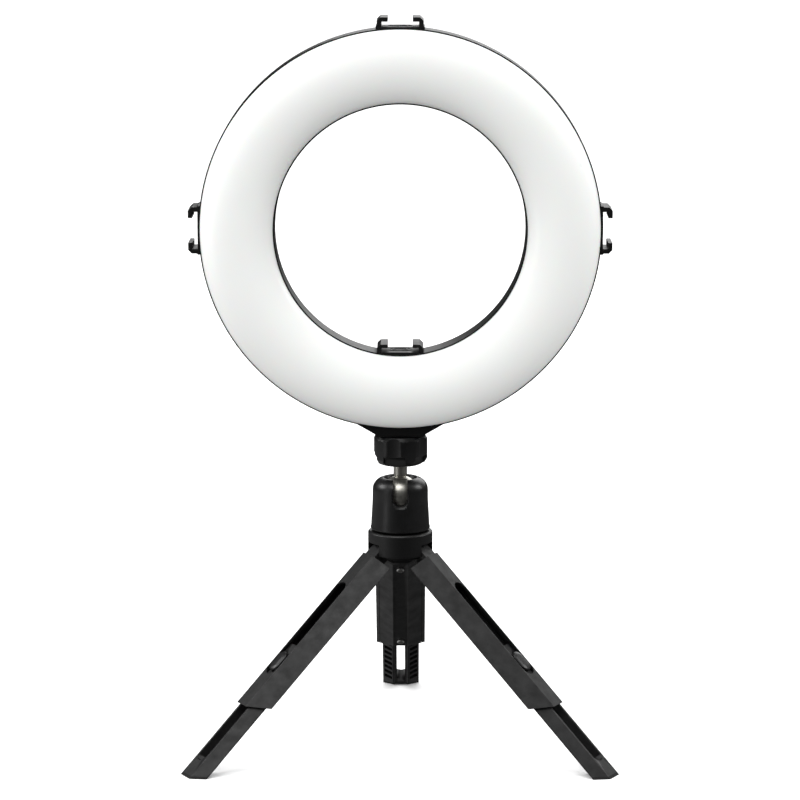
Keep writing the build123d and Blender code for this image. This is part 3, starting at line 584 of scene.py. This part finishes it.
# %% Rounded copies
LEGS = ("left", "right", "rear")
for leg in LEGS:
    moulded(f"{leg}_leg_shell", 0.20 * MM, 2 * MM)
    moulded(f"{leg}_leg_cover", 0.12 * MM, 2 * MM)
    moulded(f"{leg}_lower_leg", 0.10 * MM, 2 * MM)
    moulded(f"{leg}_foot_pad", 0.20 * MM, 1 * MM)
for shoe in ("shoe_top", "shoe_left", "shoe_right", "shoe_inner"):
    moulded(shoe, 0.20 * MM, 0.6 * MM)
moulded("rear_case", 0.25 * MM, 2 * MM)
moulded("mount_boss", 0.4 * MM, 1 * MM)
moulded("hub", 0.25 * MM, 0.25 * MM)
moulded("hub_retainer", 0.2 * MM, 0.2 * MM)
moulded("dome_housing", 0.35 * MM, 0.35 * MM)
moulded("thumb_wheel", 0.45 * MM, 0.45 * MM, 1.2)
moulded("ball", 0.05 * MM, 0.1 * MM, name="turned")
moulded("stem", 0.12 * MM, 0.12 * MM, name="turned")
for button in ("dimmer_button", "power_button", "brighter_button"):
    moulded(button, 0.08 * MM, 0.1 * MM)
print({piece.name: len(piece.data.polygons) for piece in finished})

# %% [markdown]
# ## Diffuser
# The diffuser is one thin shell, an ellipse's half swept round the ring. Facets would show at once in its
# gloss, so it isn't copied but spun: half an ellipse is drawn at the ring's right side, a step is added at
# each end that sits inside the case, and the line is spun round the ring's axis and given its thickness.


# %% Measures of the ring
def reach(node, centre):
    """Smallest and largest distance of a part's points from the axis along Y through centre."""
    away = [((v.co.x - centre.x) ** 2 + (v.co.z - centre.z) ** 2) ** 0.5 for v in nodes[node].data.vertices]
    return min(away), max(away)


case_low, case_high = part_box("rear_case")
ring_centre = (case_low + case_high) / 2
rim_y = case_low.y
dome_front_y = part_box("diffuser")[0].y
hole_radius, ring_radius = reach("rear_case", ring_centre)
dome_inside, dome_outside = reach("diffuser", ring_centre)
print("ring", round(ring_radius / MM, 1), "hole", round(hole_radius / MM, 1), "mm")

# %% Diffuser's outline
WALL = 1.7 * MM
STEP_IN = 1.35 * MM
STEP_BACK = 4 * MM
half_width = (dome_outside - dome_inside) / 2
belly = Vector((ring_centre.x + (dome_outside + dome_inside) / 2, rim_y, ring_centre.z))
bpy.ops.object.select_all(action="DESELECT")
bpy.ops.mesh.primitive_circle_add(vertices=72, radius=half_width, location=belly)
diffuser = bpy.context.object
diffuser.name = "diffuser_dome"
settle(diffuser)
edit(diffuser)
bpy.ops.transform.resize(value=(1, (rim_y - dome_front_y) / half_width, 1), center_override=belly)
pick("verts", lambda v: v.co.y > rim_y + NEAR)
bpy.ops.mesh.delete(type="VERT")
pick("verts", lambda v: v.co.y > rim_y - NEAR)
bpy.ops.mesh.extrude_region_move(TRANSFORM_OT_translate={"value": (0, 0, 0)})
inward = 1 - STEP_IN / half_width
bpy.ops.transform.resize(value=(inward, 1, 1), center_override=belly)
bpy.ops.mesh.extrude_region_move(TRANSFORM_OT_translate={"value": (0, STEP_BACK, 0)})
done()
print("outline", len(diffuser.data.vertices), "points")

# %% Diffuser's shell
edit(diffuser)
bpy.ops.mesh.spin(steps=240, angle=2 * pi, center=(ring_centre.x, 0, ring_centre.z), axis=(0, 1, 0))
bpy.ops.mesh.select_all(action="SELECT")
bpy.ops.mesh.remove_doubles(threshold=NEAR)
bpy.ops.mesh.normals_make_consistent(inside=False)
done()
front = min(diffuser.data.polygons, key=lambda face: face.center.y)
if front.normal.y > 0:
    edit(diffuser)
    bpy.ops.mesh.flip_normals()
    done()
apply_modifier(diffuser, "SOLIDIFY", thickness=WALL, offset=-1, use_even_offset=True)
smooth(diffuser, 50)
print("diffuser", len(diffuser.data.polygons), "faces")

# %% [markdown]
# Eight posts stand inside the dome and take the case's screws. They are hollow, so each begins as a
# cylinder whose end is inset and pushed in.

# %% Screw posts
POSTS = 8
POST_RADIUS = 2.3 * MM
POST_BORE = 1.3 * MM
POST_BORE_DEPTH = 8 * MM
POST_BEHIND_FRONT = 5.5 * MM  # from the dome's foremost point to where the posts begin
post_circle = sum(reach("case_screws", ring_centre)) / 2
post_front, post_back = dome_front_y + POST_BEHIND_FRONT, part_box("diffuser")[1].y


def round_the_ring(number, y):
    """The place of a post or its screw on the ring, at y."""
    angle = 2 * pi * (number + 0.5) / POSTS
    return Vector((cos(angle), 0, sin(angle))) * post_circle + Vector((ring_centre.x, y, ring_centre.z))


bpy.ops.object.select_all(action="DESELECT")
bpy.ops.mesh.primitive_cylinder_add(
    vertices=32, radius=POST_RADIUS, depth=post_back - post_front,
    location=(0, (post_front + post_back) / 2, 0), rotation=(radians(90), 0, 0),
)
post = bpy.context.object
settle(post)
edit(post)
pick("faces", lambda f: f.normal.y > 0.9)
bpy.ops.mesh.inset(thickness=POST_RADIUS - POST_BORE)
bpy.ops.mesh.extrude_region_move(TRANSFORM_OT_translate={"value": (0, -POST_BORE_DEPTH, 0)})
done()
posts = [copy_to(post, Matrix.Translation(round_the_ring(i, 0)), "post") for i in range(POSTS)]
bpy.data.objects.remove(post)
for part in posts:
    smooth(part, 40)
diffuser = join("diffuser_dome", [diffuser, *posts])
fit(diffuser, "diffuser")
print("posts", len(posts))

# %% [markdown]
# ## Screws
# Every screw here is the same thing at another size: a pan head with a cross recess, and a shank. One is
# turned from a cylinder, its head's edge is rounded, and a tapered cross is cut into it. It is made standing
# on the origin, with its head up, and then copied to its places.


# %% Screw
def screw(head_radius, head_height, shank_radius, shank_length):
    """A cross-recessed screw, the underside of its head at the origin and its head towards +Z."""
    bpy.ops.object.select_all(action="DESELECT")
    bpy.ops.mesh.primitive_cylinder_add(
        vertices=40, radius=head_radius, depth=head_height, location=(0, 0, head_height / 2)
    )
    piece = bpy.context.object
    settle(piece)
    edit(piece)
    pick("faces", lambda f: f.normal.z < -0.9)
    bpy.ops.mesh.inset(thickness=head_radius - shank_radius)
    bpy.ops.mesh.extrude_region_move(TRANSFORM_OT_translate={"value": (0, 0, -shank_length)})
    pick("edges", lambda e: min(v.co.z for v in e.verts) > head_height * 0.9)
    bpy.ops.mesh.bevel(offset=head_height * 0.6, segments=4, affect="EDGES", profile=0.5)
    done()
    for turn in (0, 90):
        bpy.ops.object.select_all(action="DESELECT")
        bpy.ops.mesh.primitive_cube_add(size=1, location=(0, 0, head_height), rotation=(0, 0, radians(turn)))
        blade = bpy.context.object
        blade.scale = (head_radius * 1.15, head_radius * 0.27, head_height * 1.3)
        settle(blade)
        edit(blade)
        pick("faces", lambda f: f.normal.z < -0.9)
        bpy.ops.transform.resize(value=(0.7, 0.7, 1), center_override=(0, 0, 0))
        done()
        cut(piece, blade)
    smooth(piece, 35)
    return piece


def screws(node, master, places):
    """Copies of a screw at places, each a seat and the way that its head looks, as one part."""
    group = []
    for seat, way in places:
        turn = Vector(way).to_track_quat("Z", "Y").to_matrix().to_4x4()
        group.append(copy_to(master, Matrix.Translation(seat) @ turn, "screw"))
    bpy.data.objects.remove(master)
    return fit(join(f"{node}_crossed", group), node)


print("screw tool ready")

# %% Screws in the ring, the boss and the hub
BEHIND = (0, 1, 0)
DOWN = (0, 0, -1)
CASE_HEAD = 1.1 * MM
seat_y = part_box("case_screws")[1].y - CASE_HEAD
case_seats = [(round_the_ring(i, seat_y), BEHIND) for i in range(POSTS)]
screws("case_screws", screw(2.7 * MM, CASE_HEAD, 1.25 * MM, 9 * MM), case_seats)

BOSS_HEAD = 1.2 * MM
BOSS_HEAD_RADIUS = 2.6 * MM
boss_low, boss_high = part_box("boss_screws")
boss_seats = []
for x in (boss_low.x + BOSS_HEAD_RADIUS, boss_high.x - BOSS_HEAD_RADIUS):
    boss_seats.append((Vector((x, boss_high.y - BOSS_HEAD, (boss_low.z + boss_high.z) / 2)), BEHIND))
screws("boss_screws", screw(BOSS_HEAD_RADIUS, BOSS_HEAD, 1.25 * MM, 7 * MM), boss_seats)

HUB_HEAD = 1.6 * MM
hub_seat = Vector((0, 0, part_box("hub_screw")[0].z + HUB_HEAD))
screws("hub_screw", screw(3.0 * MM, HUB_HEAD, 1.5 * MM, 9 * MM), [(hub_seat, DOWN)])
print("screws placed", len(case_seats) + len(boss_seats) + 1)


# %% [markdown]
# ## A leg's own directions
# The three legs are one leg, turned. The joints say how each lies: the hinge pin runs sideways, the slide
# runs up the leg and the lock button is pushed inwards. Out of those a matrix is made, and a part drawn once
# in the leg's own directions goes to all three.


# %% Leg directions
def leg_matrix(leg):
    """X runs sideways, Y up the leg and Z outwards; the origin is level with the pin, on the folded axis."""
    fold = joints[f"{leg}_leg_fold"]
    side = Vector(fold["axis"]).normalized()
    up_leg = Vector(joints[f"{leg}_leg_extend"]["axis"]).normalized()
    outward = side.cross(up_leg).normalized()
    pin = Vector(fold["pos_m"])
    origin = pin - outward * pin.xy.length
    matrix = Matrix((side, up_leg, outward)).transposed().to_4x4()
    return Matrix.Translation(origin) @ matrix


def in_leg(node, leg):
    """A part's lowest and highest corner in the leg's own directions."""
    back = leg_matrix(leg).inverted()
    points = [back @ v.co for v in nodes[node].data.vertices]
    low = Vector([min(p[i] for p in points) for i in range(3)])
    high = Vector([max(p[i] for p in points) for i in range(3)])
    return low, high


print("button box in the leg", in_leg("left_lock_button", "left"))

# %% Cover screws
cover_low, cover_high = in_leg("left_cover_screws", "left")
COVER_HEAD = 0.9 * MM
COVER_HEAD_RADIUS = 2.0 * MM
for leg in LEGS:
    place = leg_matrix(leg)
    inward = place.to_3x3() @ Vector((0, 0, -1))
    seats = []
    for along in (cover_high.y - COVER_HEAD_RADIUS, cover_low.y + COVER_HEAD_RADIUS):
        seats.append((place @ Vector((0, along, cover_low.z + COVER_HEAD)), inward))
    screws(f"{leg}_cover_screws", screw(COVER_HEAD_RADIUS, COVER_HEAD, 1.0 * MM, 7.5 * MM), seats)
print("cover screws placed")

# %% [markdown]
# ## Lock button
# The button is an oval with a soft crown, so that a thumb finds it. A disc is pulled into an oval by moving
# its two halves apart, drawn up to height, its top edge is rounded and the crown is raised by two insets.

# %% Lock button
button_low, button_high = in_leg("left_lock_button", "left")
button_half = (button_high.x - button_low.x) / 2
straight = (button_high.y - button_low.y) / 2 - button_half
button_middle = (button_low + button_high) / 2
CROWN = 0.35 * MM
THUMB_EDGE = 0.8 * MM
bpy.ops.object.select_all(action="DESELECT")
bpy.ops.mesh.primitive_circle_add(
    vertices=48, radius=button_half, fill_type="NGON", location=(0, button_middle.y, button_low.z)
)
button = bpy.context.object
settle(button)
edit(button)
pick("verts", lambda v: v.co.y > button_middle.y + NEAR)
bpy.ops.transform.translate(value=(0, straight, 0))
pick("verts", lambda v: v.co.y < button_middle.y - NEAR)
bpy.ops.transform.translate(value=(0, -straight, 0))
bpy.ops.mesh.select_all(action="SELECT")
height = button_high.z - button_low.z - CROWN
bpy.ops.mesh.extrude_region_move(TRANSFORM_OT_translate={"value": (0, 0, height)})
top_z = button_low.z + height
pick("edges", lambda e: min(v.co.z for v in e.verts) > top_z - NEAR)
bpy.ops.mesh.bevel(offset=THUMB_EDGE, segments=5, affect="EDGES")
for step, rise in ((0.7 * MM, 0.6), (1.0 * MM, 0.4)):
    pick("faces", lambda f: f.normal.z > 0.95 and f.calc_area() > 8 * MM * MM)
    bpy.ops.mesh.inset(thickness=step, depth=CROWN * rise)
bpy.ops.mesh.select_all(action="SELECT")
bpy.ops.mesh.normals_make_consistent(inside=False)
done()
smooth(button, 60)
for leg in LEGS:
    fit(copy_to(button, leg_matrix(leg), f"{leg}_lock_button_crowned"), f"{leg}_lock_button")
bpy.data.objects.remove(button)
print("lock buttons", button_half / MM, "mm half width")

# %% [markdown]
# ## Lock springs
# A small coil under each button shortens when the button is pushed. Its base stays on the lower leg, so the
# coil can't simply ride with the button. Here each coil is welded, smoothed and set on the lower leg, and the
# share of its length that the button's travel would leave it is worked out and printed; it is not squashed.

# %% Lock springs
PLAY = 0.05 * MM  # so that the squashed coil doesn't touch its button
for leg in LEGS:
    press = joints[f"{leg}_lock_press"]
    spring = copy_to(nodes[f"{leg}_lock_spring"], Matrix.Identity(4), f"{leg}_lock_coil")
    edit(spring)
    bpy.ops.mesh.remove_doubles(threshold=WELD)
    done()
    smooth(spring, 40)
    fit(spring, f"{leg}_lock_spring")
    coil_low, coil_high = in_leg(f"{leg}_lock_spring", leg)
    travel = press["range_m"][1]
    keep = 1 - (travel + PLAY) / (coil_high.z - coil_low.z)
    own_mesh(spring)
    print(leg, "coil keeps", round(keep, 2), "of its length")

# %% [markdown]
# ## Marks on the control buttons
# A minus, a power ring and a plus, printed a little proud. They are thin prisms, and they ride with the
# buttons that they are printed on.


# %% Mark tools
MARK_PROUD = 0.10 * MM
STROKE = 0.4 * MM
STROKE_LENGTH = 2.0 * MM


def bar(name, where, width, height):
    """A thin raised bar on a button's face."""
    bpy.ops.object.select_all(action="DESELECT")
    bpy.ops.mesh.primitive_cube_add(size=1, location=where)
    piece = bpy.context.object
    piece.scale = (width, MARK_PROUD, height)
    settle(piece)
    edit(piece)
    pick("faces", lambda f: f.normal.y > 0.9)
    bpy.ops.mesh.inset(thickness=0.04 * MM, depth=0.02 * MM)
    done()
    piece.name = name
    return piece


def mark(piece, button):
    """Print a mark on a button."""
    piece.data.materials.clear()
    piece.data.materials.append(mark_white)
    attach(piece, body_of[button])


print("mark tools ready")

# %% Minus and plus
faces = {}
for button in ("dimmer_button", "power_button", "brighter_button"):
    low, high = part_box(button)
    faces[button] = Vector(((low.x + high.x) / 2, high.y + 0.03 * MM, (low.z + high.z) / 2))
mark(bar("minus_mark", faces["dimmer_button"], STROKE_LENGTH, STROKE), "dimmer_button")
plus = [
    bar("plus_mark", faces["brighter_button"], STROKE_LENGTH, STROKE),
    bar("plus_upright", faces["brighter_button"], STROKE, STROKE_LENGTH),
]
mark(join("plus_mark", plus), "brighter_button")
print("marks on", list(faces))

# %% [markdown]
# The power mark is a ring with a gap at the top and an upright in the gap. A small square is flattened to
# the marks' height, spun most of the way round, and turned until the gap is uppermost.

# %% Power mark
RING_RADIUS = 1.1 * MM
RING_SWEEP = radians(290)
UPRIGHT_RISE = 0.75 * MM
UPRIGHT_LENGTH = 1.3 * MM
power = faces["power_button"]
bpy.ops.object.select_all(action="DESELECT")
bpy.ops.mesh.primitive_plane_add(size=STROKE, location=power + Vector((RING_RADIUS, 0, 0)))
ring = bpy.context.object
settle(ring)
edit(ring)
bpy.ops.transform.resize(value=(1, MARK_PROUD / STROKE, 1), center_override=power)
bpy.ops.mesh.spin(steps=28, angle=RING_SWEEP, center=power, axis=(0, 1, 0))
bpy.ops.mesh.select_all(action="SELECT")
bpy.ops.mesh.remove_doubles(threshold=0.001 * MM)
bpy.ops.mesh.normals_make_consistent(inside=False)
done()
GAP_MIDDLE = radians(-35)
turn = Matrix.Rotation(radians(-90) - GAP_MIDDLE, 4, "Y")
settle(ring, Matrix.Translation(power) @ turn @ Matrix.Translation(-power))
upright = bar("power_upright", power + Vector((0, 0, UPRIGHT_RISE)), STROKE, UPRIGHT_LENGTH)
mark(join("power_mark", [ring, upright]), "power_button")
print("power ring", round(RING_RADIUS / MM, 1), "mm in radius")
